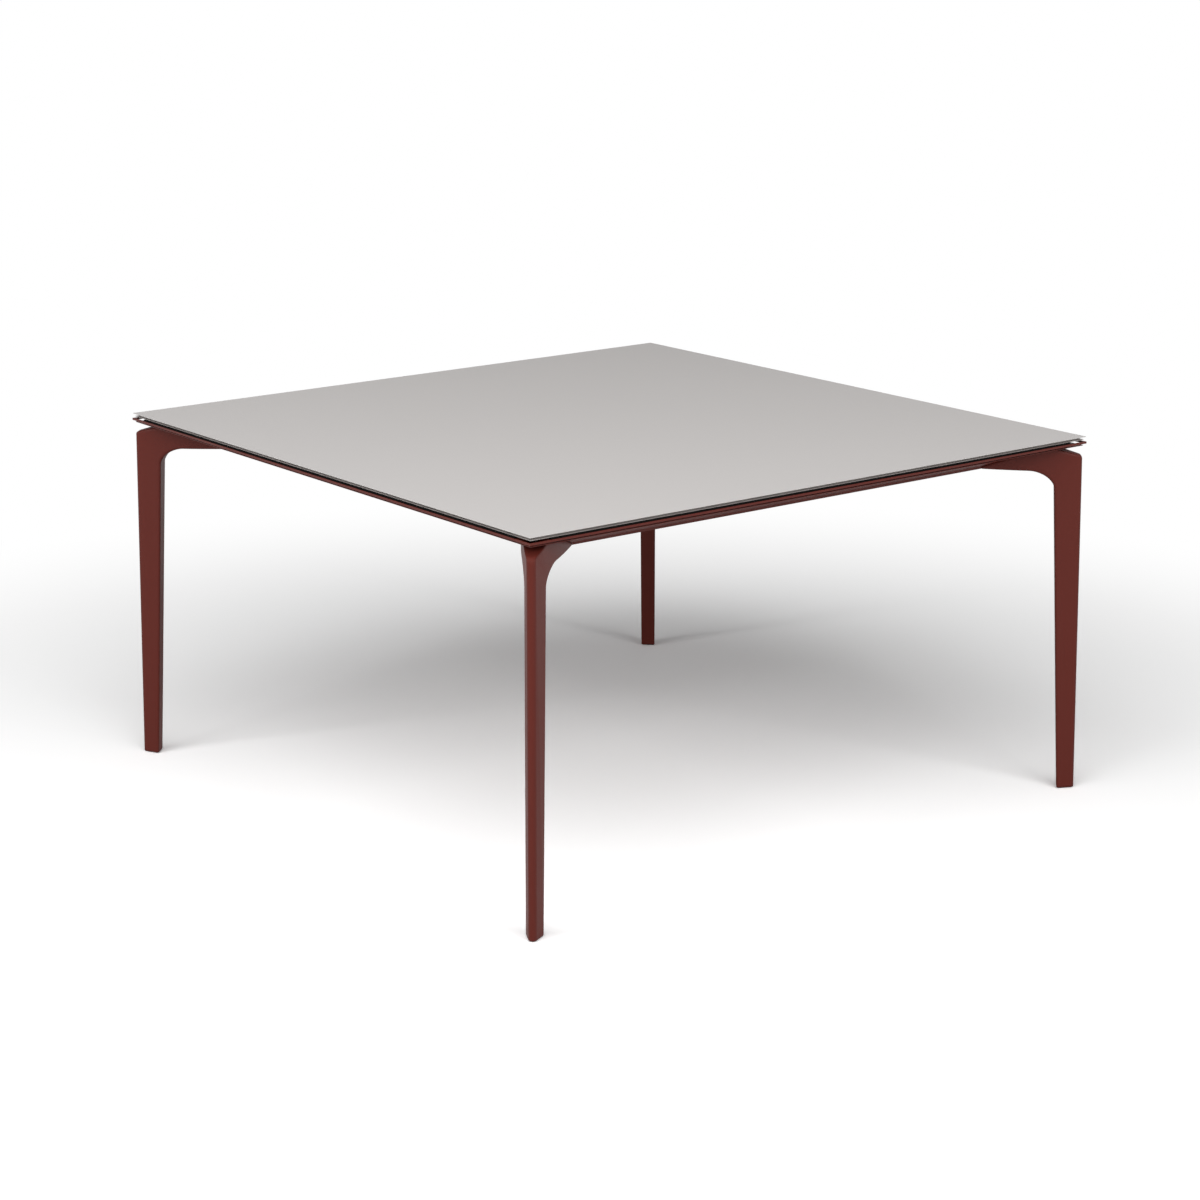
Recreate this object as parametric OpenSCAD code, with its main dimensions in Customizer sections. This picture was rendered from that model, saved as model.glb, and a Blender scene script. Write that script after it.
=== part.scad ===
// Square dining table: a thin bevelled stone top on a winged metal frame, carried by four blade legs.
// Millimetres, Z up. The origin is on the floor under the middle of the top.
// The front left corner is at -X -Y; the other corners are quarter turns of it, counter-clockwise from above.

/* [Table] */
// Side of the square top
top_side = 1400; // [1100:10:1700]
// Height of the top's upper face above the floor
table_h = 745.5; // [640:0.5:900]

/* [Top] */
// Thickness of the stone slab
slab_t = 3; // [3:0.5:6]
// Upright land left at the slab's upper edge, above the bevel
slab_land = 0.7; // [0.2:0.1:1]
// Width of the bevel under the slab's edge
slab_bevel_w = 9; // [6:0.5:12]
// Radius of the slab's corners, seen from above
slab_corner_r = 2; // [1:0.5:4]
// Thickness of the glass sheet bonded under the slab
glass_t = 3.95; // [3:0.05:6]
// Distance from the slab's edge to the glass's upper part
glass_inset = 9.5; // [9:0.5:14]
// Thickness of the lip left under the step ground along the glass's edge
glass_lip_t = 1.25; // [1:0.05:2]
// Distance from the slab's edge to that lip
glass_lip_inset = 4.2; // [3:0.2:6]
// Thickness of the gasket between the glass and the rail
gasket_t = 3.25; // [1.5:0.05:5]
// Width of the gasket
gasket_w = 26; // [20:1:27]
// Distance from the slab's edge to the gasket
gasket_inset = 1; // [1:0.5:4]
// Distance between a gasket's end and the length cleared at the corner
gasket_gap = 1; // [0.5:0.5:3]

/* [Edge rail] */
// Thickness of the rail
rail_t = 4.35; // [3:0.05:5]
// How far the rail stands out past the slab's edge
rail_out = 0.6; // [0:0.2:3]
// Width of the bare lip that the rail keeps at the corners, measured inwards from the slab's edge
rail_lip = 2; // [1.5:0.5:4]
// Distance from the slab's edge to the rail's inner edge
rail_inset = 31; // [30:1:34]
// Chamfer along the rail's outer edges
rail_chamfer = 0.4; // [0.3:0.1:1]
// Distance from the slab's edge to the rail screws
rail_screw_inset = 23; // [21:0.5:26]
// Greatest distance between two rail screws
rail_pitch = 220; // [120:10:400]

/* [Wing beam] */
// Height of the shadow groove between the rail and the wing's lip
groove_h = 3; // [2:0.5:5]
// Distance from the slab's edge to the wing's thin tip
tip_inset = 4.4; // [3:0.2:8]
// Thickness of the wing at its tip
tip_t = 1.2; // [0.5:0.1:1.5]
// Distance from the slab's edge to the web at the back of the groove
web_inset = 14; // [12:1:16]
// Distance from the slab's edge to the outer face of the heel
heel_inset = 115; // [105:1:125]
// Height of the heel's upright outer face
heel_h = 4; // [3:0.5:8]
// Width of the heel, from its outer face to the beam's inner face
heel_w = 35; // [30:1:50]
// Depth of the frame's underside below the top's upper face
frame_depth = 62; // [56:0.5:68]
// Radius of the hollow curve under the wing
cove_r = 307.5; // [260:0.5:420]
// Wall of the beam
beam_wall = 3; // [2:0.5:4]
// Length cleared of flange and rail at each corner
corner_clear = 45; // [40:1:50]

/* [Corner joints] */
// Distance from the slab's edge to the leg block
block_inset = 40; // [36:1:46]
// Reach of the leg block along each beam, from the slab's corner
block_reach = 190; // [170:5:220]
// Height of the corner key
key_h = 28; // [18:1:36]
// Reach of the corner key along each beam, from the slab's corner
key_reach = 235; // [200:5:260]
// Play between a block or key and the beam round it
insert_play = 0.2; // [0.1:0.05:0.4]

/* [Leg] */
// How far the nose of the leg's head stands inside the slab's corner, along the diagonal
head_inset = 6.6; // [4:0.2:12]
// Outward lean of the nose towards the floor, in degrees
nose_lean = 0.98; // [0:0.02:3]
// Lean of the back face, in degrees
back_lean = 2.76; // [1:0.02:5]
// Depth of the blade at the floor, along the diagonal
foot_depth = 35.6; // [28:0.1:42]
// Width of the nose at the floor
nose_w = 12.4; // [10:0.2:18]
// Width of the nose where the head is cut
nose_top_w = 14.6; // [8:0.2:18]
// Width that the nose would reach under the slab
nose_cap_w = 19; // [14:0.5:24]
// Width of the back face at the floor
back_w = 34.8; // [28:0.2:40]
// Width of the back face at the elbow
elbow_w = 40.2; // [34:0.2:48]
// Rounding of the nose, up to nine tenths of the fullest that it has room for
nose_r = 7.6; // [2:0.2:10]
// Rounding of the back edges
back_r = 3; // [2:0.5:4]
// Rounding of the foot's bottom edges
foot_r = 3; // [1:0.5:3.5]
// Slope of the top of the head, rising inwards, in degrees
head_slope = 15; // [8:0.5:18]
// Depth of the head's sharp corner below the top's upper face, before it is rounded
head_depth = 38.7; // [34:0.1:42]
// Rounding of the head's corner
head_r = 6.5; // [4:0.5:12]

/* [Arm] */
// Drop of the arm's underside below the frame's, where it meets the heel
arm_drop = 1.1; // [0:0.1:6]
// Slope of the arm's underside, falling outwards, in degrees
arm_slope = 3; // [1:0.1:5]
// Drop of the elbow's start on the back face, below the frame's underside
elbow_drop = 43; // [36:0.5:64]
// Distance along the diagonal from the back face to the end of the elbow's curve
elbow_reach = 52; // [36:1:80]
// Width of the arm where it meets the heel
arm_w = 94; // [84:1:104]
// Swell of the arm's half-width halfway along, over a straight taper
arm_swell = 2.6; // [0:0.1:5]
// Lean of the arm's sides at the elbow: how much wider each is at its top
arm_draft = 1; // [0:0.5:6]
// Rounding of the arm's lower edges
arm_r = 4.5; // [3:0.5:6]
// Gap between the arm and the frame that it seats under
seat_gap = 0.1; // [0.05:0.05:0.3]

/* [Glides] */
// Diameter of the glide's pad
pad_d = 16; // [12:0.5:17]
// Thickness of the pad
pad_t = 4; // [3:0.5:6]
// Height of the leg's underside above the floor, with the glide screwed right in
foot_gap = 1; // [0.5:0.5:3]
// Play round the pad in its pocket
pad_play = 0.3; // [0.2:0.1:0.6]
// Diameter of the glide's threaded stud
stud_d = 8; // [6:1:10]
// Height of the stud's tip above the pad's underside
stud_top = 34; // [28:1:50]
// Radial play of the stud in the leg
stud_play = 0.05; // [0.02:0.01:0.1]
// Distance from the blade's back face to the stud's axis, at the floor
glide_inset = 12.5; // [11.5:0.5:14]
// Depth of the tapped hole above the stud
stud_spare = 4; // [2:1:10]

/* [Cross beams] */
// Distance from the middle of the top to each cross beam
cross_x = 230; // [150:10:300]
// Width of the cross beam
cross_w = 40; // [30:2:60]
// Height of the cross beam
cross_h = 25; // [20:1:30]
// Wall of the cross beam
cross_wall = 2; // [1.5:0.5:3]
// Gap between the cross beam's end and the wing beam
cross_gap = 1; // [0.5:0.5:2]
// Side of a square support pad
pad_side = 30; // [20:2:40]
// Support pads on each cross beam
pads_per_beam = 5; // [3:1:9]
// Plate thickness of a beam bracket
bracket_t = 4; // [3:0.5:6]
// Length of the bracket's shelf under the cross beam
bracket_shelf = 42; // [36:1:60]
// Width of the bracket
bracket_w = 64; // [56:2:80]
// Height of the bracket's leaf
bracket_leaf = 20; // [18:1:22]

/* [Screws] */
// Diameter of a leg screw
leg_screw_d = 8; // [6:1:8]
// Length of a leg screw under its head
leg_screw_l = 38; // [30:1:40]
// Diameter of a frame screw
frame_screw_d = 6; // [5:1:6]
// Length of a frame screw with its countersunk head
frame_screw_l = 16; // [12:1:18]
// Diameter of a rail screw
rail_screw_d = 4; // [3:0.5:4]
// Length of a rail screw with its countersunk head
rail_screw_l = 9; // [8:0.5:14]
// Diameter of a bracket screw
bracket_screw_d = 5; // [4:0.5:5]
// Length of a bracket screw under its head
bracket_screw_l = 9; // [8:0.5:12]
// Radial play of a screw where it only passes through
screw_play = 0.3; // [0.2:0.1:0.5]
// Distance from the slab's corner to the inner pair of leg screws, along the diagonal
leg_screws_in = 142; // [138:1:146]
// Distance between the inner pair of leg screws
leg_screws_in_gap = 44; // [38:1:50]
// Distance from the slab's corner to the outer pair of leg screws, along the diagonal
leg_screws_out = 97; // [92:1:104]
// Distance between the outer pair of leg screws
leg_screws_out_gap = 26; // [22:1:30]
// Distance from a block's or key's end to its outer frame screw
frame_screw_end = 15; // [10:1:20]
// Distance between the two frame screws of a block or key arm
frame_screw_gap = 55; // [30:1:60]

/* [Hidden] */
$fn = 48;
COVE_FN = 240;     // the coves have far larger circles than the screws and glides
CORNERS = ["front_left", "front_right", "back_right", "back_left"];
SIDES = ["front", "right", "back", "left"];
BEAMS = ["left", "right"];
ROUND_STEPS = 4;   // flats on a rounded edge of the leg
NOSE_STEPS = 6;    // flats on each half of its nose
ELBOW_STEPS = 15;  // sections through the elbow
ARM_STEPS = 5;     // sections along the arm
FULLEST = 0.9;     // share of the room for a nose's rounding that it may take
PULL = 0.6;        // pull of a curve's corner point: 0 gives a straight line, 1 a parabola
HEAD_RATIO = 1.6;  // diameter of a socket head over that of its shank
SHELF_PLACE = 0.65; // place of a shelf's screws, as a share of its length
REACH = 60;        // how far cutting solids run past what they cut
BEYOND = 5;        // how far a body reaches past the cut that ends it

// Levels, from the top down.
half = top_side / 2;
slab_z = table_h - slab_t;
glass_z = slab_z - glass_t;
rail_z = glass_z - gasket_t;
flange_z = rail_z - rail_t;
lip_z = flange_z - groove_h;
tip_z = lip_z - tip_t;
ceiling_z = flange_z - beam_wall;
frame_z = table_h - frame_depth;
heel_z = frame_z + heel_h;
beam_inset = heel_inset + heel_w;

// Centre of the cove's circle, as [distance from the slab's edge, height]: it passes through the wing's
// tip and through the top of the heel.
cove_tip = [tip_inset, tip_z];
cove_heel = [heel_inset, heel_z];
cove_chord = cove_heel - cove_tip;
cove_normal = [cove_chord.y, -cove_chord.x] / norm(cove_chord);
cove_c = (cove_tip + cove_heel) / 2 + cove_normal * sqrt(cove_r ^ 2 - (cove_chord * cove_chord) / 4);

// The leg lies in the upright plane through the table's middle and one corner. r is the distance from the
// middle, along the diagonal.
corner_r = half * sqrt(2);
head_z = table_h - head_depth;
elbow_z = frame_z - elbow_drop;
cap_z = slab_z;
heel_r = corner_r - heel_inset * sqrt(2);
arm_end_r = heel_r - arm_w / 2;

function nose_at(z) = corner_r - head_inset + (head_z - z) * tan(nose_lean);
function back_at(z) = nose_at(0) - foot_depth - z * tan(back_lean);
function nose_half(z) =
    z <= head_z ? (nose_w + (nose_top_w - nose_w) * z / head_z) / 2
    : (nose_top_w + (nose_cap_w - nose_top_w) * (z - head_z) / (cap_z - head_z)) / 2;
function back_half(z) = (back_w + (elbow_w - back_w) * z / elbow_z) / 2;
function arm_floor(r) = frame_z - arm_drop - (r - arm_end_r) * tan(arm_slope);

// Half-width of the arm at r: a straight taper from the heel to the elbow, with a swell in the middle.
elbow_r = back_at(elbow_z);
function arm_t(r) = (elbow_r - r) / (elbow_r - arm_end_r);
function arm_half(r) =
    let (t = arm_t(r))
    elbow_w / 2 + (arm_w - elbow_w) / 2 * t + 4 * arm_swell * t * (1 - t);

// Half-width of the leg at r along its upper edge, narrowing to the nose beyond the elbow.
function cap_half(r) =
    r <= elbow_r ? arm_half(r) + arm_draft * (1 - arm_t(r))
    : let (t = (r - elbow_r) / (nose_at(cap_z) - elbow_r))
        (arm_half(elbow_r) + arm_draft) * (1 - t) + nose_half(cap_z) * t;

// The curve that leaves a towards b and arrives at c: its tangent's two ends at t, and the point between them.
function bend_from(a, b, t) = ((1 - t) * a + t * PULL * b) / (1 - t + t * PULL);
function bend_to(b, c, t) = ((1 - t) * PULL * b + t * c) / ((1 - t) * PULL + t);
function bend(a, b, c, t) =
    let (before = (1 - t) * (1 - t + t * PULL), after = t * ((1 - t) * PULL + t))
    (before * bend_from(a, b, t) + after * bend_to(b, c, t)) / (before + after);
function bend_angle(a, b, c, t) =
    let (d = bend_to(b, c, t) - bend_from(a, b, t))
    atan2(d.y, d.x);

// The elbow's curve, from the back face to the arm's underside, as [r, z].
arm_start_r = elbow_r - elbow_reach;
elbow_a = [elbow_r, elbow_z];
elbow_b = [back_at(arm_floor(elbow_r)), arm_floor(elbow_r)];
elbow_c = [arm_start_r, arm_floor(arm_start_r)];

// One section of the leg: a trapezoid with rounded corners, from its back edge at x = 0 to its front edge
// at x = len, as wide on either side as back and front.
function corner_points(cx, cy, r, from, to, steps) = [
    for (i = [0:steps])
        let (a = from + (to - from) * i / steps)
        [cx + r * cos(a), cy + r * sin(a)]
];
function section(len, back, front, r_back) =
    let (
        slope = atan((back - front) / len),
        side = 90 - slope,
        r_front = min(nose_r, FULLEST * front * cos(slope) / (1 - sin(slope))),
        back_y = back - r_back * (tan(slope) + 1 / cos(slope)),
        front_y = back - (len - r_front) * tan(slope) - r_front / cos(slope)
    )
    concat(
        corner_points(r_back, back_y, r_back, 180, side, ROUND_STEPS),
        corner_points(len - r_front, front_y, r_front, side, 0, NOSE_STEPS),
        corner_points(len - r_front, -front_y, r_front, 0, -side, NOSE_STEPS),
        corner_points(r_back, -back_y, r_back, -side, -180, ROUND_STEPS)
    );

// A section placed in the leg's plane: its back edge at [r, z], its front edge in the direction of angle.
function placed(r, z, angle, points) = [
    for (p = points)
        [r + p.x * cos(angle), p.y, z + p.x * sin(angle)]
];

// The blade's section at height z, drawn in all round by inset.
function blade_section(z, inset) =
    placed(
        back_at(z) + inset, z, 0,
        section(nose_at(z) - back_at(z) - 2 * inset, back_half(z) - inset, nose_half(z) - inset, back_r)
    );

// A section across the elbow: it runs square to the curve until it meets the nose line or the cap.
function elbow_section(t) =
    let (
        p = bend(elbow_a, elbow_b, elbow_c, t),
        angle = bend_angle(elbow_a, elbow_b, elbow_c, t) - 90,
        to_nose = (nose_at(p.y) - p.x) / (cos(angle) + tan(nose_lean) * sin(angle)),
        to_cap = (cap_z - p.y) / sin(angle),
        len = min(to_nose, to_cap),
        front = to_nose < to_cap ? nose_half(p.y + len * sin(angle)) : cap_half(p.x + len * cos(angle))
    )
    placed(p.x, p.y, angle, section(len, arm_half(p.x), front, back_r + (arm_r - back_r) * t));

function arm_section(r) =
    placed(r, arm_floor(r), 90, section(cap_z - arm_floor(r), arm_half(r), cap_half(r), arm_r));

// The leg's sections from the foot to the arm's end.
leg_sections = concat(
    [
        for (i = [0:ROUND_STEPS])
            let (a = 90 * i / ROUND_STEPS)
            blade_section(foot_gap + foot_r * (1 - cos(a)), foot_r * (1 - sin(a)))
    ],
    [blade_section(elbow_z, 0)],
    [for (i = [1:ELBOW_STEPS]) elbow_section(i / ELBOW_STEPS)],
    [for (i = [1:ARM_STEPS]) arm_section(arm_start_r + (arm_end_r - BEYOND - arm_start_r) * i / ARM_STEPS)]
);

// Places of the leg screws, as [distance along the diagonal, distance to its side].
LEG_SCREWS = [
    for (side = [-1, 1])
        each [
            [corner_r - leg_screws_in, side * leg_screws_in_gap / 2],
            [corner_r - leg_screws_out, side * leg_screws_out_gap / 2]
        ]
];
leg_head_d = leg_screw_d * HEAD_RATIO;

// Places of the frame screws at one end of a side, as [distance from the slab's corner, distance from its edge].
FRAME_SCREWS = [
    for (n = [0, 1])
        each [
            [block_reach - frame_screw_end - n * frame_screw_gap, (block_inset + heel_inset) / 2],
            [key_reach - frame_screw_end - n * frame_screw_gap, (heel_inset + beam_inset) / 2]
        ]
];

// Places of the rail screws along a side.
rail_screw_run = top_side - 2 * (corner_clear + rail_screw_inset);
rail_screw_gaps = ceil(rail_screw_run / rail_pitch);
RAIL_SCREWS = [for (i = [0:rail_screw_gaps]) (i / rail_screw_gaps - 0.5) * rail_screw_run];

// Levels and places of the cross beams and their brackets.
cross_z = rail_z - cross_h;
cross_y = half - beam_inset;
leaf_screw_x = bracket_w / 2 - 2 * bracket_screw_d;
leaf_screw_z = cross_z - bracket_t - bracket_leaf / 2 + bracket_t / 2;
shelf_screw_x = cross_w / 2 - 2 * bracket_screw_d;
shelf_screw_y = bracket_shelf * SHELF_PLACE;

// Place of a glide, and the depth of its stud in the pad.
glide_r = back_at(0) + glide_inset;
stud_sole = 1.2;

// Runs a profile, drawn as [distance from the slab's edge, height], along the front side.
module along_front(length) {
    translate([-length / 2, -half, 0])
        rotate([90, 0, 90])
            linear_extrude(length)
                children();
}

// The share of the plan that belongs to the front side, between the two mitres.
module front_share() {
    s = half + REACH;
    linear_extrude(table_h + REACH)
        polygon([[0, 0], [-s, -s], [s, -s]]);
}

// Places its children at each corner's leg screws, frame screws and rail screws, looking down.
module at_leg_screws() {
    rotate(225)
        for (p = LEG_SCREWS)
            translate(p)
                children();
}
module at_frame_screws() {
    for (end = [-1, 1], p = FRAME_SCREWS)
        translate([end * (half - p.x), p.y - half, flange_z])
            children();
}
module at_rail_screws() {
    for (x = RAIL_SCREWS)
        translate([x, rail_screw_inset - half, rail_z])
            children();
}

// Places its children at the screws of the bracket at [0, inner face of the beam], heads up.
module at_bracket_screws() {
    for (side = [-1, 1]) {
        translate([side * leaf_screw_x, bracket_t, leaf_screw_z])
            rotate([-90, 0, 0])
                children();
        translate([side * shelf_screw_x, shelf_screw_y, cross_z - bracket_t])
            rotate([180, 0, 0])
                children();
    }
}

// Places its children at a corner's bracket: on the front or back beam, at a cross beam's end.
module at_bracket(i) {
    back = i >= 2;
    mirror([0, back ? 1 : 0, 0])
        translate([(i == 0 || i == 3 ? -1 : 1) * cross_x, -cross_y, 0])
            children();
}

// A countersunk screw or its hole: the head's flat face is at the origin and the shank points down.
module countersunk(d, length, play = 0) {
    translate([0, 0, -length])
        cylinder(h = length, d = d + 2 * play);
    translate([0, 0, -d / 2 - play])
        cylinder(h = d / 2 + play, d1 = d, d2 = 2 * d + 2 * play);
}

// A screw with a cylindrical socket head that sits on top of the origin, with the shank pointing down.
module socket_screw(d, length, head_d, head_h) {
    socket_d = d * 0.9;
    difference() {
        union() {
            translate([0, 0, -length])
                cylinder(h = length, d = d);
            cylinder(h = head_h, d = head_d);
        }
        translate([0, 0, head_h / 2])
            cylinder(h = head_h, d = socket_d, $fn = 6);
    }
}

// An L in plan at the front left corner: from near to far from both edges, out to reach along both beams.
module corner_l(near, far, reach) {
    translate([-half, -half])
        polygon([[near, near], [reach, near], [reach, far], [far, far], [far, reach], [near, reach]]);
}

module top_slab() {
    bevel_h = slab_t - slab_land;
    beyond_h = BEYOND * bevel_h / slab_bevel_w;
    straight = top_side - 2 * slab_corner_r;
    color("lightgray")
        difference() {
            translate([0, 0, slab_z])
                linear_extrude(slab_t) {
                    square([top_side, straight], center = true);
                    square([straight, top_side], center = true);
                    for (x = [-1, 1], y = [-1, 1])
                        translate([x, y] * straight / 2)
                            circle(slab_corner_r);
                }
            for (i = [0:3])
                rotate(90 * i)
                    along_front(top_side + REACH)
                        polygon([
                            [-BEYOND, slab_z + bevel_h + beyond_h],
                            [-BEYOND, slab_z - beyond_h],
                            [slab_bevel_w + BEYOND, slab_z - beyond_h]
                        ]);
        }
}

// The glass sheet: its edge is stepped, with a thin lip at the bottom.
module backing_glass() {
    side = top_side - 2 * glass_inset;
    lip_side = top_side - 2 * glass_lip_inset;
    color("darkslategray") {
        translate([-side / 2, -side / 2, glass_z])
            cube([side, side, glass_t]);
        translate([-lip_side / 2, -lip_side / 2, glass_z])
            cube([lip_side, lip_side, glass_lip_t]);
    }
}

module gasket(i) {
    run = top_side - 2 * (corner_clear + gasket_gap);
    color("black")
        rotate(90 * i)
            translate([-run / 2, gasket_inset - half, rail_z])
                cube([run, gasket_w, gasket_t]);
}

module edge_rail(i) {
    color("brown")
        rotate(90 * i)
            difference() {
                intersection() {
                    along_front(top_side + REACH)
                        polygon([
                            [rail_chamfer - rail_out, flange_z],
                            [rail_inset, flange_z],
                            [rail_inset, rail_z],
                            [rail_chamfer - rail_out, rail_z],
                            [-rail_out, rail_z - rail_chamfer],
                            [-rail_out, flange_z + rail_chamfer]
                        ]);
                    front_share();
                }
                for (end = [-1, 1])
                    translate([end * (half - corner_clear / 2 + REACH / 2), rail_lip - half + REACH / 2, table_h / 2])
                        cube([corner_clear + REACH, REACH, table_h], center = true);
                at_rail_screws()
                    countersunk(rail_screw_d, rail_screw_l + BEYOND, screw_play);
            }
}

// Profile of the wing beam: a thin lip, a hollow curve below it, and a square heel, with two chambers.
module wing_profile() {
    difference() {
        polygon([
            [tip_inset, frame_z],
            [beam_inset, frame_z],
            [beam_inset, flange_z],
            [web_inset, flange_z],
            [web_inset, lip_z],
            [tip_inset, lip_z]
        ]);
        cove_below(0);
        difference() {
            translate([web_inset + beam_wall, frame_z])
                square([heel_inset - web_inset - beam_wall, ceiling_z - frame_z]);
            translate(cove_c)
                circle(cove_r + beam_wall, $fn = COVE_FN);
        }
        translate([heel_inset + beam_wall, frame_z + beam_wall])
            square([beam_inset - heel_inset - 2 * beam_wall, ceiling_z - frame_z - beam_wall]);
    }
}

// The space under the wing, out to the heel, drawn in by play.
module cove_below(play) {
    intersection() {
        translate(cove_c)
            circle(cove_r - play, $fn = COVE_FN);
        translate([-REACH, cove_c.y])
            square([heel_inset - play + REACH, cove_r]);
    }
}

module wing_beam(i) {
    color("brown")
        rotate(90 * i)
            difference() {
                intersection() {
                    along_front(top_side)
                        wing_profile();
                    front_share();
                }
                for (end = [-1, 1])
                    translate([end * half, -half, lip_z + REACH / 2])
                        cube([2 * corner_clear, 2 * corner_clear, REACH], center = true);
                for (turn = [0, 90])
                    rotate(turn)
                        at_leg_screws()
                            cylinder(h = table_h, d = leg_screw_d + 2 * screw_play);
                at_frame_screws()
                    countersunk(frame_screw_d, frame_screw_l, screw_play);
                at_rail_screws()
                    countersunk(rail_screw_d, rail_screw_l);
                if (i % 2 == 0)
                    for (n = [0, 1])
                        at_bracket(n)
                            at_bracket_screws()
                                translate([0, 0, -bracket_screw_l])
                                    cylinder(h = bracket_screw_l, d = bracket_screw_d);
            }
}

module leg_block(i) {
    color("silver")
        rotate(90 * i)
            difference() {
                translate([0, 0, frame_z])
                    linear_extrude(ceiling_z - insert_play - frame_z)
                        corner_l(block_inset, heel_inset - insert_play, block_reach);
                for (turn = [0, -90])
                    rotate(turn)
                        along_front(top_side)
                            translate(cove_c)
                                circle(cove_r + beam_wall + insert_play, $fn = COVE_FN);
                at_leg_screws()
                    cylinder(h = table_h, d = leg_screw_d);
                both_beams()
                    at_frame_screws()
                        translate([0, 0, -frame_screw_l])
                            cylinder(h = frame_screw_l, d = frame_screw_d);
            }
}

// The same thing on both of a corner's beams.
module both_beams() {
    children();
    rotate(-90)
        children();
}

module corner_key(i) {
    color("silver")
        rotate(90 * i)
            difference() {
                translate([0, 0, ceiling_z - insert_play - key_h])
                    linear_extrude(key_h)
                        corner_l(heel_inset + beam_wall + insert_play, beam_inset - beam_wall - insert_play, key_reach);
                both_beams()
                    at_frame_screws()
                        translate([0, 0, -frame_screw_l])
                            cylinder(h = frame_screw_l, d = frame_screw_d);
            }
}

// The blade, the elbow and the arm as one body, longer than the finished leg at the head and at the arm's end.
module leg_blank() {
    count = len(leg_sections[0]);
    last = len(leg_sections) - 1;
    polyhedron(
        [for (s = leg_sections) each s],
        concat(
            [[for (k = [count - 1:-1:0]) k]],
            [
                for (j = [0:last - 1], k = [0:count - 1])
                    let (a = j * count + k, b = j * count + (k + 1) % count)
                    each [[a, b + count, a + count], [a, b, b + count]]
            ],
            [[for (k = [0:count - 1]) last * count + k]]
        )
    );
}

// What is cut from the head: all that lies above a slope that rises inwards from the nose, with a rounded corner.
module above_head() {
    corner = [nose_at(head_z), head_z];
    far = corner + 3 * REACH * [-cos(head_slope), sin(head_slope)];
    from = corner - head_r * [-sin(nose_lean), cos(nose_lean)];
    to = corner + head_r * [-cos(head_slope), sin(head_slope)];
    rotate([90, 0, 0])
        linear_extrude(arm_w, center = true)
            polygon(concat(
                [for (i = [0:ROUND_STEPS]) bend(from, corner, to, i / ROUND_STEPS)],
                [far, [far.x, table_h], [corner.x + REACH, table_h], [corner.x + REACH, from.y]]
            ));
}

// The frame's space over a leg at the front left corner: everything above the two coves and inside the heels.
module frame_over_leg() {
    intersection_for (turn = [0, -90])
        rotate(turn)
            along_front(top_side)
                difference() {
                    translate([tip_inset, frame_z - REACH])
                        square([half, table_h + REACH - frame_z]);
                    cove_below(seat_gap);
                }
}

module leg(i) {
    color("brown")
        rotate(90 * i)
            difference() {
                rotate(225)
                    difference() {
                        leg_blank();
                        above_head();
                        translate([glide_r, 0, 0]) {
                            cylinder(h = pad_t + pad_play, d = pad_d + 2 * pad_play);
                            cylinder(h = stud_top + stud_spare, d = stud_d + 2 * stud_play);
                        }
                    }
                frame_over_leg();
                at_leg_screws() {
                    cylinder(h = table_h, d = leg_screw_d + 2 * screw_play);
                    cylinder(h = heel_z, d = leg_head_d + 2 * screw_play);
                }
            }
}

// Places its children at a corner's glide, on the floor.
module at_glide(i) {
    rotate(90 * i + 225)
        translate([glide_r, 0, 0])
            children();
}

module glide_pad(i) {
    edge = 0.5;
    color("dimgray")
        at_glide(i)
            difference() {
                union() {
                    cylinder(h = edge, d1 = pad_d - 2 * edge, d2 = pad_d);
                    translate([0, 0, edge])
                        cylinder(h = pad_t - edge, d = pad_d);
                }
                translate([0, 0, stud_sole])
                    cylinder(h = pad_t, d = stud_d);
            }
}

module glide_stud(i) {
    color("silver")
        at_glide(i)
            translate([0, 0, stud_sole])
                cylinder(h = stud_top - stud_sole, d = stud_d);
}

module cross_beam(side) {
    length = 2 * (cross_y - cross_gap);
    color("brown")
        translate([side * cross_x, 0, cross_z + cross_h / 2])
            difference() {
                cube([cross_w, length, cross_h], center = true);
                cube([cross_w - 2 * cross_wall, length + BEYOND, cross_h - 2 * cross_wall], center = true);
                for (end = [-1, 1], x = [-1, 1])
                    translate([x * shelf_screw_x, end * (cross_y - shelf_screw_y), -cross_h / 2])
                        cylinder(h = 3 * cross_wall, d = bracket_screw_d, center = true);
            }
}

module beam_bracket(i) {
    color("silver")
        at_bracket(i)
            difference() {
                translate([-bracket_w / 2, 0, 0]) {
                    translate([0, 0, cross_z - bracket_t])
                        cube([bracket_w, bracket_shelf, bracket_t]);
                    translate([0, 0, cross_z - bracket_leaf])
                        cube([bracket_w, bracket_t, bracket_leaf]);
                }
                at_bracket_screws()
                    translate([0, 0, -bracket_screw_l])
                        cylinder(h = bracket_screw_l + BEYOND, d = bracket_screw_d + 2 * screw_play);
            }
}

module support_pads() {
    pitch = 2 * (cross_y - bracket_shelf) / (pads_per_beam - 1);
    color("black")
        for (side = [-1, 1], n = [0:pads_per_beam - 1])
            translate([side * cross_x, (n - (pads_per_beam - 1) / 2) * pitch, rail_z + gasket_t / 2])
                cube([pad_side, pad_side, gasket_t], center = true);
}

module leg_screws() {
    color("silver")
        for (i = [0:3])
            rotate(90 * i)
                at_leg_screws()
                    translate([0, 0, heel_z])
                        rotate([180, 0, 0])
                            socket_screw(leg_screw_d, leg_screw_l, leg_head_d, leg_screw_d);
}

module frame_screws() {
    color("silver")
        for (i = [0:3])
            rotate(90 * i)
                at_frame_screws()
                    countersunk(frame_screw_d, frame_screw_l);
}

module rail_screws() {
    color("silver")
        for (i = [0:3])
            rotate(90 * i)
                at_rail_screws()
                    countersunk(rail_screw_d, rail_screw_l);
}

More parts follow.
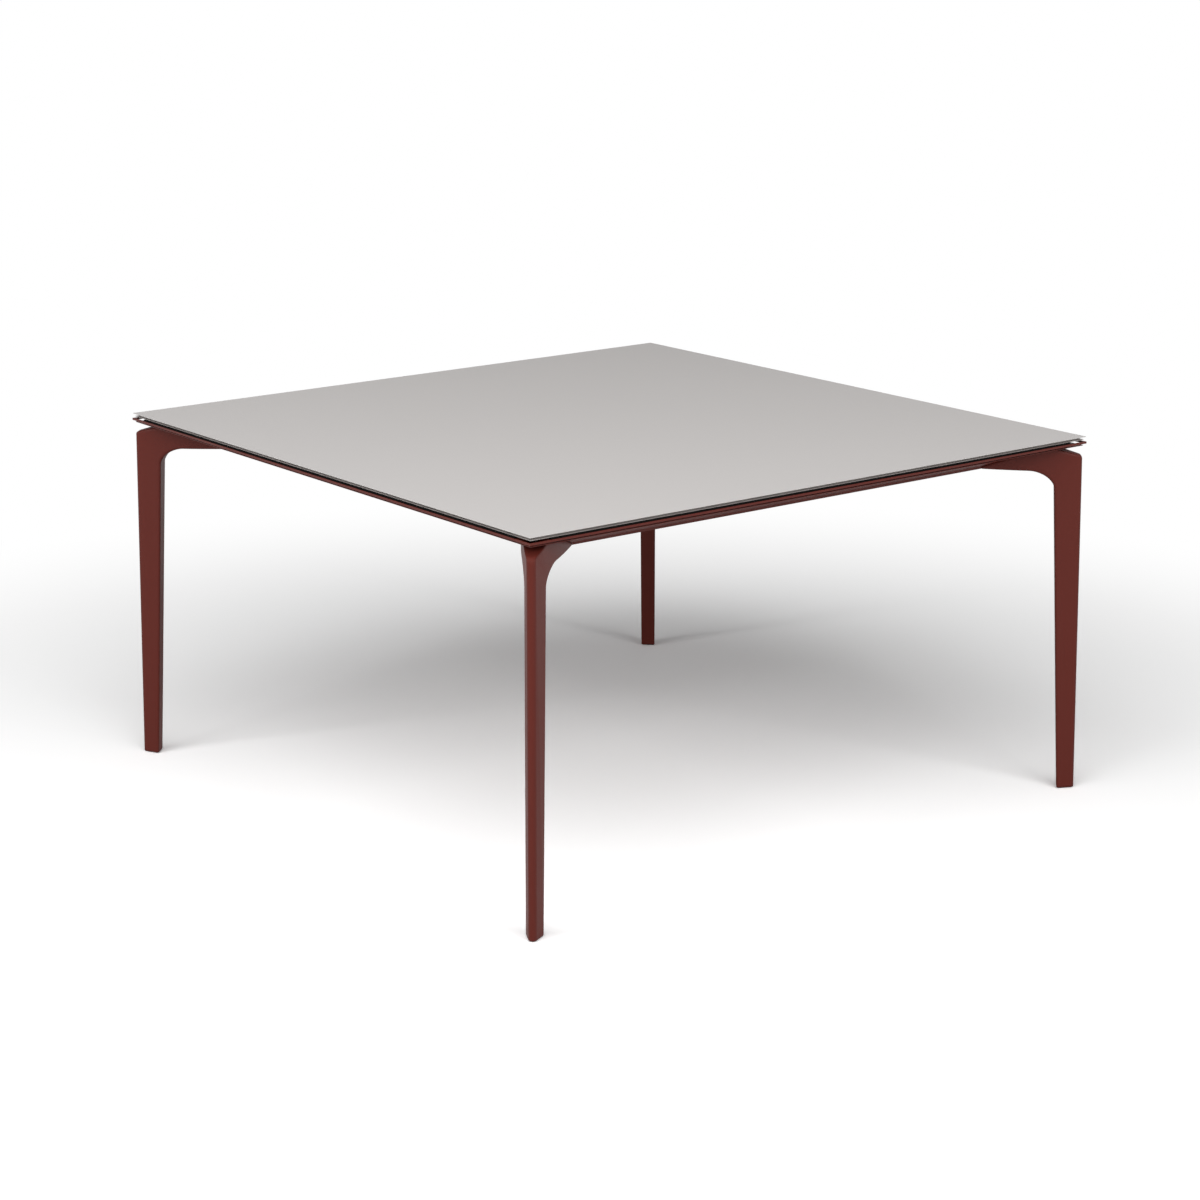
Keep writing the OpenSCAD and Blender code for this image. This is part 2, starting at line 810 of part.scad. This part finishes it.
module bracket_screws() {
    color("silver")
        for (i = [0:3])
            at_bracket(i)
                at_bracket_screws()
                    socket_screw(bracket_screw_d, bracket_screw_l, bracket_screw_d * HEAD_RATIO, bracket_screw_d / 2);
}

top_slab();
backing_glass();
for (i = [0:3]) {
    gasket(i);
    edge_rail(i);
    wing_beam(i);
    leg_block(i);
    corner_key(i);
    leg(i);
    glide_pad(i);
    glide_stud(i);
    beam_bracket(i);
}
for (b = [0, 1]) {
    cross_beam(2 * b - 1);
}
support_pads();
leg_screws();
frame_screws();
rail_screws();
bracket_screws();
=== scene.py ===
"""Square dining table in a white studio: a thin bevelled top, a slim winged frame and four blade legs."""

import logging
import math
from collections.abc import Callable
from dataclasses import dataclass
from enum import Enum

import bpy
from mathutils import Euler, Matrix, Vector

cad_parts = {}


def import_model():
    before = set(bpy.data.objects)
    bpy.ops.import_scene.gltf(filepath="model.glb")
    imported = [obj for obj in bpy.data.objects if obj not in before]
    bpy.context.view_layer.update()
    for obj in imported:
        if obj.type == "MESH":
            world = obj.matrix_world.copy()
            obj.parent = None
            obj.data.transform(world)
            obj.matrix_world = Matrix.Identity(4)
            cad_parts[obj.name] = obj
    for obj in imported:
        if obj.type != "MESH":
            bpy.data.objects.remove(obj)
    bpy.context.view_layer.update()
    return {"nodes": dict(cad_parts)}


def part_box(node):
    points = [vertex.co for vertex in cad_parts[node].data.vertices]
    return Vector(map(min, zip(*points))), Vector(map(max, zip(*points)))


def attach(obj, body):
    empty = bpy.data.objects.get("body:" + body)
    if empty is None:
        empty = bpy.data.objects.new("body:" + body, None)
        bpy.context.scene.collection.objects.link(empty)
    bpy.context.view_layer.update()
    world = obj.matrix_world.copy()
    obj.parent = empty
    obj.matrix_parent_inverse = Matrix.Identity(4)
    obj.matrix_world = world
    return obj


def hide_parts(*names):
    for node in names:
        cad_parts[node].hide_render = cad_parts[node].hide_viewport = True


LOG = logging.getLogger("table")

Colour = tuple[float, float, float]
Triple = tuple[float, float, float]
Range = tuple[float, float]
Ring = list[Triple]

# Indices of the sockets of a Mix node that mixes colours, whose names aren't unique.
MIX_FIRST = 6
MIX_SECOND = 7
MIX_RESULT = 2

# Rays that a Bevel node sends out to round an edge in the shading.
EDGE_SAMPLES = 6

# How rough each further octave of a noise is.
NOISE_ROUGHNESS = 0.55

WHITE: Colour = (1.0, 1.0, 1.0)
BLACK: Colour = (0.0, 0.0, 0.0)


class Corner(Enum):
    """The table's corners, by the names that the frame's nodes and bodies use."""

    FRONT_LEFT = "front_left"
    FRONT_RIGHT = "front_right"
    BACK_RIGHT = "back_right"
    BACK_LEFT = "back_left"


class Relief(Enum):
    """Kinds of fine relief."""

    GRAIN = "even grain"
    PEEL = "soft dimples of a powder coat"
    BRUSHED = "long scratches that run one way"


def opaque(colour: Colour) -> tuple[float, float, float, float]:
    """The colour with full alpha."""
    return (*colour, 1.0)


class Socket:
    """A value in a node tree, with arithmetic that adds Math nodes."""

    def __init__(self, graph: "Graph", link: bpy.types.NodeSocket) -> None:
        """Wraps the output that holds the value, and keeps the graph that new nodes go into."""
        self.graph = graph
        self.link = link

    def _math(self, operation: str, first: "Socket | float", second: "Socket | float") -> "Socket":
        """The result of one Math node on two values or numbers."""
        return self.graph.node("ShaderNodeMath", {"operation": operation}, {0: first, 1: second})

    def __add__(self, other: "Socket | float") -> "Socket":
        """The sum."""
        return self._math("ADD", self, other)

    __radd__ = __add__

    def __sub__(self, other: "Socket | float") -> "Socket":
        """The difference."""
        return self._math("SUBTRACT", self, other)

    def __rsub__(self, other: "Socket | float") -> "Socket":
        """The difference, reflected."""
        return self._math("SUBTRACT", other, self)

    def __mul__(self, other: "Socket | float") -> "Socket":
        """The product."""
        return self._math("MULTIPLY", self, other)

    __rmul__ = __mul__

    def __lt__(self, other: "Socket | float") -> "Socket":
        """One where this value is the smaller."""
        return self._math("LESS_THAN", self, other)

    def __gt__(self, other: "Socket | float") -> "Socket":
        """One where this value is the larger: the reflected form of the one above."""
        return self._math("GREATER_THAN", self, other)

    def larger(self, other: "Socket | float") -> "Socket":
        """The larger of the two."""
        return self._math("MAXIMUM", self, other)


class Graph:
    """A material's or the world's node tree, emptied and built again."""

    def __init__(self, owner: bpy.types.ID) -> None:
        """Empties the owner's tree.

        Args:
            owner: The material or world.
        """
        owner.use_nodes = True
        self.tree = owner.node_tree
        self.tree.nodes.clear()

    def node(self, kind: str, settings: dict, inputs: dict, output: "str | int" = 0) -> "Socket | None":
        """Adds a node.

        Args:
            kind: The node's type.
            settings: Values of the node's own properties; stops is a ramp's list of (position, colour).
            inputs: Numbers, colours or values by socket name or index.
            output: Name or index of the output to return.

        Returns:
            That output, or nothing where the node has none.
        """
        made = self.tree.nodes.new(kind)
        for name, value in settings.items():
            if name == "stops":
                self._set_stops(made.color_ramp, value)
            else:
                setattr(made, name, value)
        for name, value in inputs.items():
            if isinstance(value, Socket):
                self.tree.links.new(value.link, made.inputs[name])
            else:
                made.inputs[name].default_value = value
        return Socket(self, made.outputs[output]) if made.outputs else None

    @staticmethod
    def _set_stops(ramp: bpy.types.ColorRamp, stops: list[tuple[float, Colour]]) -> None:
        """Sets a ramp's stops.

        Args:
            ramp: The colour ramp.
            stops: Pairs of position and colour.
        """
        while len(ramp.elements) < len(stops):
            ramp.elements.new(1.0)
        for element, (position, colour) in zip(ramp.elements, stops):
            element.position = position
            element.color = opaque(colour)

    def place(self) -> Socket:
        """Coordinates that stay with the piece, in metres."""
        return self.node("ShaderNodeTexCoord", {}, {}, "Object")

    def height(self) -> Socket:
        """Height above the floor at rest, in metres."""
        return self.node("ShaderNodeSeparateXYZ", {}, {"Vector": self.place()}, "Z")

    def upwardness(self) -> Socket:
        """How far the surface faces up: 1 on a level top, 0 on an upright side."""
        normal = self.node("ShaderNodeNewGeometry", {}, {}, "Normal")
        return self.node("ShaderNodeSeparateXYZ", {}, {"Vector": normal}, "Z")

    def stretched(self, scale: Triple) -> Socket:
        """The piece's coordinates, scaled by a factor of its own along each axis."""
        return self.node("ShaderNodeMapping", {}, {"Vector": self.place(), "Scale": scale})

    def noise(self, scale: float, detail: float = 3.0, where: "Socket | None" = None) -> Socket:
        """Fractal noise from 0 to 1.

        Args:
            scale: Features per metre.
            detail: Octaves of detail.
            where: Coordinates, or the piece's own if left out.

        Returns:
            The noise.
        """
        inputs = {
            "Vector": where or self.place(),
            "Scale": scale,
            "Detail": detail,
            "Roughness": NOISE_ROUGHNESS,
        }
        return self.node("ShaderNodeTexNoise", {"noise_dimensions": "3D"}, inputs, "Fac")

    def contrast(self, value: Socket, low: float, high: float) -> Socket:
        """The value stretched so that low becomes 0 and high becomes 1, and cut off beyond them."""
        stops = [(low, BLACK), (high, WHITE)]
        return self.node("ShaderNodeValToRGB", {"stops": stops}, {"Fac": value}, "Color")

    def mixed(
        self, factor: "Socket | float", first: "Socket | Colour", second: "Socket | Colour",
    ) -> Socket:
        """Mixes two colours.

        Args:
            factor: Share of the second colour.
            first: First colour.
            second: Second colour.

        Returns:
            The mixture.
        """
        first, second = (each if isinstance(each, Socket) else opaque(each) for each in (first, second))
        inputs = {"Factor": factor, MIX_FIRST: first, MIX_SECOND: second}
        return self.node("ShaderNodeMix", {"data_type": "RGBA"}, inputs, MIX_RESULT)

    def bump(self, height: Socket, depth: float, edge_radius: float) -> Socket:
        """The normal over a relief of a depth in metres, with the edges rounded to a radius in metres."""
        rounded = self.node("ShaderNodeBevel", {"samples": EDGE_SAMPLES}, {"Radius": edge_radius})
        return self.node("ShaderNodeBump", {}, {"Distance": depth, "Height": height, "Normal": rounded})

    def finish(self, shader: Socket, kind: str = "ShaderNodeOutputMaterial") -> None:
        """Sends a surface shader to an output node of the given kind."""
        self.node(kind, {}, {"Surface": shader})


@dataclass(frozen=True)
class Finish:
    """A finish: one principled surface with a varied colour, a varied roughness and a fine relief."""

    name: str
    colour: Colour
    accent: Colour
    roughness: float
    roughness_swing: float = 0.06
    metallic: float = 0.0
    specular: float = 0.5
    patch_scale: float = 6.0
    grain_scale: float = 900.0
    grain_depth: float = 0.00002
    edge_radius: float = 0.0003
    grain_detail: float = 2.0
    relief: Relief = Relief.GRAIN
    peel_detail: float = 1.0
    peel_range: Range = (0.3, 0.7)
    scratch: Triple = (12.0, 900.0, 900.0)
    scratch_detail: float = 4.0

    def material(self) -> bpy.types.Material:
        """Builds the material.

        Returns:
            The material.
        """
        made = bpy.data.materials.new(self.name)
        graph = Graph(made)
        shader = graph.node("ShaderNodeBsdfPrincipled", {}, self.sockets(graph), "BSDF")
        graph.finish(shader)
        return made

    def sockets(self, graph: Graph) -> dict[str, "Socket | float"]:
        """Values and links for the principled shader.

        Args:
            graph: The material's graph.

        Returns:
            Sockets by name.
        """
        patches = graph.noise(self.patch_scale)
        relief = self._relief(graph)
        swing = (patches + relief - 1.0) * self.roughness_swing
        return {
            "Base Color": self._colour(graph, patches, relief),
            "Roughness": swing + self.roughness,
            "Metallic": self.metallic,
            "Specular IOR Level": self.specular,
            "Normal": graph.bump(relief, self.grain_depth, self.edge_radius),
        }

    def _colour(self, graph: Graph, patches: Socket, relief: Socket) -> Socket:
        """The finish's colour, which drifts between its two with the patches and the relief."""
        return graph.mixed(patches * 0.5 + relief * 0.5, self.colour, self.accent)

    def _relief(self, graph: Graph) -> Socket:
        """The height field of the finish's own kind of relief.

        Args:
            graph: The material's graph.

        Returns:
            The height, from 0 to 1.
        """
        if self.relief is Relief.BRUSHED:
            return graph.noise(1.0, self.scratch_detail, graph.stretched(self.scratch))
        if self.relief is Relief.PEEL:
            return graph.contrast(graph.noise(self.grain_scale, self.peel_detail), *self.peel_range)
        return graph.noise(self.grain_scale, self.grain_detail)


@dataclass(frozen=True)
class LegCoat(Finish):
    """A powder coat that is duller where it faces up, on the sloping tops of the legs."""

    upward_dulling: float = 0.25
    upward_range: Range = (0.15, 0.45)

    def sockets(self, graph: Graph) -> dict[str, "Socket | float"]:
        """Values and links for the principled shader, with the dulling in the roughness.

        Args:
            graph: The material's graph.

        Returns:
            Sockets by name.
        """
        sockets = super().sockets(graph)
        upward = graph.contrast(graph.upwardness(), *self.upward_range)
        sockets["Roughness"] = upward * self.upward_dulling + sockets["Roughness"]
        return sockets


@dataclass(frozen=True)
class Stone(Finish):
    """Honed ceramic stone: a plain face with a fine speckle, and below the face a darker colour that paints
    the shade on the downward bevel.
    """

    # The body colours are painted shade: a darker colour below the face for the shade on the downward bevel
    # and the underside.
    body: Colour = (0.235, 0.218, 0.208)
    painted_shade_accent: Colour = (0.215, 0.199, 0.190)
    painted_shade_top: float = 0.0
    speckle_scale: float = 420.0
    speckle_detail: float = 4.0
    speckle_range: Range = (0.35, 0.65)
    speckle_share: float = 0.6
    cloud_share: float = 0.4

    def _colour(self, graph: Graph, patches: Socket, relief: Socket) -> Socket:
        """The face's colour with its speckle, and below the face the darker colour of painted shade.

        Args:
            graph: The material's graph.
            patches: Large soft noise.
            relief: The height field, which doesn't show in the stone's colour.

        Returns:
            The colour.
        """
        speckle = graph.contrast(graph.noise(self.speckle_scale, self.speckle_detail), *self.speckle_range)
        share = speckle * self.speckle_share + patches * self.cloud_share
        face = graph.mixed(share, self.colour, self.accent)
        # Painted shade: the darker body colour stands in for the shade on the bevel below the face.
        body = graph.mixed(speckle, self.body, self.painted_shade_accent)
        return graph.mixed(graph.height() < self.painted_shade_top, face, body)


STONE_FACE: Colour = (0.533, 0.511, 0.500)
STONE_ACCENT: Colour = (0.549, 0.529, 0.518)
COAT: Colour = (0.080, 0.0105, 0.0058)
COAT_ACCENT: Colour = (0.088, 0.0115, 0.0064)
COAT_GRAIN: dict[str, float | Relief] = {
    "grain_scale": 1500.0, "grain_depth": 0.00003, "relief": Relief.PEEL,
}

GLASS = Finish("grey backed glass", (0.330, 0.300, 0.287), (0.350, 0.318, 0.304), 0.42, specular=0.3)
GASKET = Finish("black rubber", (0.0030, 0.0027, 0.0027), (0.0045, 0.0041, 0.0041), 0.90, specular=0.04)
FRAME_COAT = Finish(
    "red-brown frame coat", COAT, COAT_ACCENT, 0.42, specular=0.25, edge_radius=0.0004, **COAT_GRAIN,
)
LEG_COAT = LegCoat(
    "red-brown leg coat", COAT, COAT_ACCENT, 0.46, specular=0.20, edge_radius=0.0080, **COAT_GRAIN,
)
ALUMINIUM = Finish(
    "milled aluminium", (0.62, 0.62, 0.61), (0.54, 0.54, 0.54), 0.36, metallic=1.0, relief=Relief.BRUSHED,
)
ZINC = Finish(
    "zinc-plated steel", (0.58, 0.58, 0.57), (0.48, 0.49, 0.47), 0.32, metallic=1.0, patch_scale=60.0,
)
POLYAMIDE = Finish("black polyamide", (0.020, 0.020, 0.020), (0.030, 0.029, 0.029), 0.55)


class Workshop:
    """Makes each finish's material once."""

    def __init__(self) -> None:
        """Starts with no material."""
        self._made: dict[Finish, bpy.types.Material] = {}

    def coat(self, piece: bpy.types.Object, finish: Finish) -> None:
        """Gives a piece a finish.

        Args:
            piece: The piece.
            finish: Its finish.
        """
        if finish not in self._made:
            self._made[finish] = finish.material()
        piece.data.materials.clear()
        piece.data.materials.append(self._made[finish])
        LOG.info("%s: %s", piece.name, finish.name)


@dataclass
class Assembly:
    """A sub-assembly: some of the frame's nodes, the pieces that it adds, and the finish of each."""

    nodes: dict[str, bpy.types.Object]

    def finishes(self) -> dict[str, Finish]:
        """Finishes by the start of a node's name."""
        return {}

    def build(self, workshop: Workshop) -> None:
        """Makes the pieces that the sub-assembly adds, if there are any, and dresses them."""

    def dress(self, workshop: Workshop) -> None:
        """Dresses the sub-assembly's nodes.

        Args:
            workshop: Where materials are made.
        """
        for start, finish in self.finishes().items():
            for name in (each for each in self.nodes if each.startswith(start)):
                workshop.coat(self.nodes[name], finish)


@dataclass
class Top(Assembly):
    """The stone slab, the glass bonded under it, its gaskets and its support pads."""

    land: float = 0.0007

    def finishes(self) -> dict[str, Finish]:
        """Says which node gets which finish.

        Returns:
            Finishes by the start of a node's name.
        """
        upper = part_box("top_slab")[1][2]
        # Below the land the stone takes a darker colour, which is painted shade on its bevel.
        stone = Stone(
            "honed stone", STONE_FACE, STONE_ACCENT, 0.62, specular=0.2, grain_scale=1400.0,
            painted_shade_top=upper - self.land,
        )
        return {"top_slab": stone, "backing_glass": GLASS, "gasket_": GASKET, "support_pads": GASKET}


@dataclass
class Frame(Assembly):
    """The rails, wing beams and cross beams, with everything that joins them."""

    def finishes(self) -> dict[str, Finish]:
        """Says which node gets which finish.

        Returns:
            Finishes by the start of a node's name.
        """
        coated = {start: FRAME_COAT for start in ("edge_rail_", "wing_beam_", "cross_beam_")}
        milled = {start: ALUMINIUM for start in ("leg_block_", "corner_key_")}
        screws = {start: ZINC for start in ("frame_screws", "rail_screws", "bracket_screws")}
        return {**coated, **milled, "beam_bracket_": ZINC, **screws}


@dataclass
class Legs(Assembly):
    """The four legs and their screws."""

    def finishes(self) -> dict[str, Finish]:
        """Finishes by the start of a node's name."""
        return {**{f"leg_{corner.value}": LEG_COAT for corner in Corner}, "leg_screws": ZINC}


@dataclass
class Glides(Assembly):
    """The levelling glides: a moulded pad with a gripped rim on a threaded stud, one under each leg."""

    pad_radius: float = 0.008
    rim_radius: float = 0.0006
    rim_steps: int = 5
    grip_count: int = 16
    grip_depth: float = 0.0004
    sole_radius: float = 0.0045
    sole_hollow: float = 0.0004
    hollow_share: float = 0.9
    sides: int = 96
    stud_radius: float = 0.004
    stud_sides: int = 40
    thread_pitch: float = 0.00125
    thread_depth: float = 0.0006
    thread_rows: int = 6
    tip_length: float = 0.0008

    def build(self, workshop: Workshop) -> None:
        """Makes a pad and a stud in each corner.

        Args:
            workshop: Where materials are made.
        """
        for corner in Corner:
            pad = self._piece(f"glide_pad_{corner.value}", "moulded_pad", self._pad_rings)
            stud = self._piece(f"glide_stud_{corner.value}", "threaded_stud", self._stud_rings)
            for piece, finish in ((pad, POLYAMIDE), (stud, ZINC)):
                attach(piece, f"glide_{corner.value}")
                workshop.coat(piece, finish)

    def _piece(self, node: str, kind: str, rings: Callable[[float, float], list[Ring]]) -> bpy.types.Object:
        """Makes a piece from its rings, in place of a node.

        Args:
            node: The node that it stands for.
            kind: Start of the piece's name.
            rings: Gives the piece's rings from its lowest and highest level.

        Returns:
            The piece.
        """
        low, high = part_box(node)
        made = rings(low[2], high[2])
        mesh = bpy.data.meshes.new(kind)
        points = [point for ring in made for point in ring]
        mesh.from_pydata(points, [], self._faces(len(made), len(made[0])))
        mesh.shade_smooth()
        piece = bpy.data.objects.new(f"{kind}_{node.split('_', 2)[2]}", mesh)
        bpy.context.scene.collection.objects.link(piece)
        piece.location = ((low[0] + high[0]) / 2, (low[1] + high[1]) / 2, 0.0)
        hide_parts(node)
        return piece

    @staticmethod
    def _faces(rings: int, sides: int) -> list[list[int]]:
        """Faces between rings, closed at both ends.

        Args:
            rings: How many rings there are.
            sides: How many points a ring has.

        Returns:
            The faces, facing outwards for rings that run upwards.
        """
        last = (rings - 1) * sides
        walls = [
            [row + k, row + (k + 1) % sides, row + sides + (k + 1) % sides, row + sides + k]
            for row in range(0, last, sides)
            for k in range(sides)
        ]
        return [list(reversed(range(sides))), *walls, [last + k for k in range(sides)]]

    def _pad_rings(self, low: float, high: float) -> list[Ring]:
        """Rings of the pad: a hollow sole, a round rim, a gripped side and a top with a round edge.

        Args:
            low: Level of the sole.
            high: Level of the pad's top.

        Returns:
            The rings, from the middle of the sole round to the middle of the top.
        """
        quarter = [math.pi / 2 * step / self.rim_steps for step in range(self.rim_steps + 1)]
        curve = [(self.rim_radius * math.sin(a), self.rim_radius * math.cos(a)) for a in quarter]
        inner = self.pad_radius - self.rim_radius
        profile = [(self.sole_radius * self.hollow_share, low + self.sole_hollow), (self.sole_radius, low)]
        profile += [(inner + sine, low + self.rim_radius - cosine) for sine, cosine in curve]
        profile += [(inner + cosine, high - self.rim_radius + sine) for sine, cosine in curve]
        profile.append((self.stud_radius, high))
        return [[self._gripped(radius, level, k) for k in range(self.sides)] for radius, level in profile]

    def _gripped(self, radius: float, level: float, k: int) -> Triple:
        """A point of a pad's ring, drawn in where a grip groove crosses the rim.

        Args:
            radius: The ring's radius.
            level: The ring's height.
            k: Number of the point on the ring.

        Returns:
            The point.
        """
        turn = math.tau * k / self.sides
        on_rim = max(0.0, (radius - self.sole_radius) / (self.pad_radius - self.sole_radius))
        groove = max(0.0, math.cos(turn * self.grip_count)) ** 2
        drawn = radius - self.grip_depth * groove * on_rim ** 2
        return (drawn * math.cos(turn), drawn * math.sin(turn), level)

    def _stud_rings(self, low: float, high: float) -> list[Ring]:
        """Rings of the stud: a thread from end to end, chamfered at its tip.

        Args:
            low: Level of the stud's lower end.
            high: Level of its tip.

        Returns:
            The rings.
        """
        rows = round((high - low) / self.thread_pitch * self.thread_rows)
        levels = [low + (high - low) * row / rows for row in range(rows + 1)]
        sides = range(self.stud_sides)
        return [[self._threaded(level, high - level, k) for k in sides] for level in levels]

    def _threaded(self, level: float, from_tip: float, k: int) -> Triple:
        """A point of a stud's ring.

        Args:
            level: The ring's height.
            from_tip: Distance to the stud's tip.
            k: Number of the point on the ring.

        Returns:
            The point.
        """
        turn = math.tau * k / self.stud_sides
        phase = (level / self.thread_pitch - turn / math.tau) % 1.0
        depth = self.thread_depth * abs(2.0 * phase - 1.0)
        chamfer = self.thread_depth * max(0.0, 1.0 - from_tip / self.tip_length)
        radius = self.stud_radius - max(depth, chamfer)
        return (radius * math.cos(turn), radius * math.sin(turn), level)


def facing(place: Triple, aim: Triple) -> Euler:
    """The rotation that points a lamp or camera from its place at its aim."""
    return (Vector(aim) - Vector(place)).to_track_quat("-Z", "Y").to_euler()


@dataclass(frozen=True)
class SoftBox:
    """A square studio light aimed at a point."""

    name: str
    place: Triple
    side: float
    watts: float
    aim: Triple = (0.0, 0.0, 0.4)

    def build(self) -> None:
        """Makes the light."""
        lamp = bpy.data.lights.new(self.name, "AREA")
        lamp.shape = "SQUARE"
        lamp.size = self.side
        lamp.energy = self.watts
        made = bpy.data.objects.new(self.name, lamp)
        bpy.context.scene.collection.objects.link(made)
        made.location = self.place
        made.rotation_euler = facing(self.place, self.aim)


@dataclass
class Studio:
    """The floor, the world, the lights and the camera.

    The floor shows to the camera in floor_seen, which takes it to the background's white where it is fully
    lit, and gives light back as floor_colour.
    """

    focal_mm: float = 85.12
    sensor_mm: float = 36.0
    camera_place: Triple = (-3.5332, -4.5259, 1.9125)
    camera_aim: Triple = (0.0, 0.0, 0.3710)
    floor_side: float = 160.0
    floor_colour: float = 0.80
    floor_seen: float = 1.17
    fade_from: float = 0.9
    fade_to: float = 2.6
    ambient: float = 0.14
    boxes: tuple[SoftBox, ...] = (
        SoftBox("key light", (-3.1, -3.1, 4.8), 5.8, 308.0),
        SoftBox("left light", (-5.6, 0.4, 3.0), 3.0, 152.0),
        SoftBox("front light", (0.4, -5.6, 3.0), 3.0, 146.0),
    )

    def build(self) -> None:
        """Makes everything in the studio."""
        bpy.context.scene.view_settings.view_transform = "Standard"
        self._camera()
        self._world()
        self._floor()
        for box in self.boxes:
            box.build()

    def _camera(self) -> None:
        """Makes the camera at the photograph's angle."""
        lens = bpy.data.cameras.new("camera")
        lens.lens = self.focal_mm
        lens.sensor_width = self.sensor_mm
        lens.sensor_fit = "HORIZONTAL"
        lens.clip_end = 2.0 * self.floor_side
        made = bpy.data.objects.new("camera", lens)
        bpy.context.scene.collection.objects.link(made)
        made.location = self.camera_place
        made.rotation_euler = facing(self.camera_place, self.camera_aim)
        bpy.context.scene.camera = made

    @staticmethod
    def _seen(graph: Graph) -> Socket:
        """Tells what is looked at from what gives light.

        Args:
            graph: The graph of the world or the floor.

        Returns:
            One where a ray comes from the camera, or through or off something shiny.
        """
        camera = graph.node("ShaderNodeLightPath", {}, {}, "Is Camera Ray")
        glossy = graph.node("ShaderNodeLightPath", {}, {}, "Is Glossy Ray")
        through = graph.node("ShaderNodeLightPath", {}, {}, "Is Transmission Ray")
        return camera.larger(glossy).larger(through)

    def _world(self) -> None:
        """Makes the world: white to look at, dimmer as a light."""
        world = bpy.data.worlds.new("studio")
        bpy.context.scene.world = world
        graph = Graph(world)
        strength = self._seen(graph) * (1.0 - self.ambient) + self.ambient
        inputs = {"Color": opaque(WHITE), "Strength": strength}
        graph.finish(graph.node("ShaderNodeBackground", {}, inputs), "ShaderNodeOutputWorld")

    def _floor(self) -> None:
        """Makes the floor: pale and shadowed round the table, plain white to look at further out."""
        half = self.floor_side / 2
        mesh = bpy.data.meshes.new("floor")
        corners = [(-half, -half, 0.0), (half, -half, 0.0), (half, half, 0.0), (-half, half, 0.0)]
        mesh.from_pydata(corners, [], [(0, 1, 2, 3)])
        floor = bpy.data.objects.new("floor", mesh)
        bpy.context.scene.collection.objects.link(floor)
        mesh.materials.append(self._floor_material())

    def _floor_material(self) -> bpy.types.Material:
        """Makes the floor's material, which fades from the lit floor into plain white.

        Returns:
            The material.
        """
        material = bpy.data.materials.new("studio floor")
        graph = Graph(material)
        camera = graph.node("ShaderNodeLightPath", {}, {}, "Is Camera Ray")
        colour = graph.mixed(camera, (self.floor_colour,) * 3, (self.floor_seen,) * 3)
        near = graph.node("ShaderNodeBsdfDiffuse", {}, {"Color": colour})
        far = graph.node("ShaderNodeEmission", {}, {"Color": opaque(WHITE), "Strength": 1.0})
        distance = graph.node("ShaderNodeVectorMath", {"operation": "LENGTH"}, {0: graph.place()}, "Value")
        inputs = {"Value": distance, "From Min": self.fade_from, "From Max": self.fade_to}
        fade = graph.node("ShaderNodeMapRange", {"interpolation_type": "SMOOTHSTEP"}, inputs)
        graph.finish(graph.node("ShaderNodeMixShader", {}, {0: self._seen(graph) * fade, 1: near, 2: far}))
        return material


def main() -> None:
    """Builds the scene round the frame."""
    logging.basicConfig(level=logging.INFO, format="%(name)s: %(message)s")
    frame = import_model()
    Studio().build()
    workshop = Workshop()
    for kind in (Top, Frame, Legs, Glides):
        assembly = kind(frame["nodes"])
        assembly.build(workshop)
        assembly.dress(workshop)


if __name__ == "__main__":
    main()
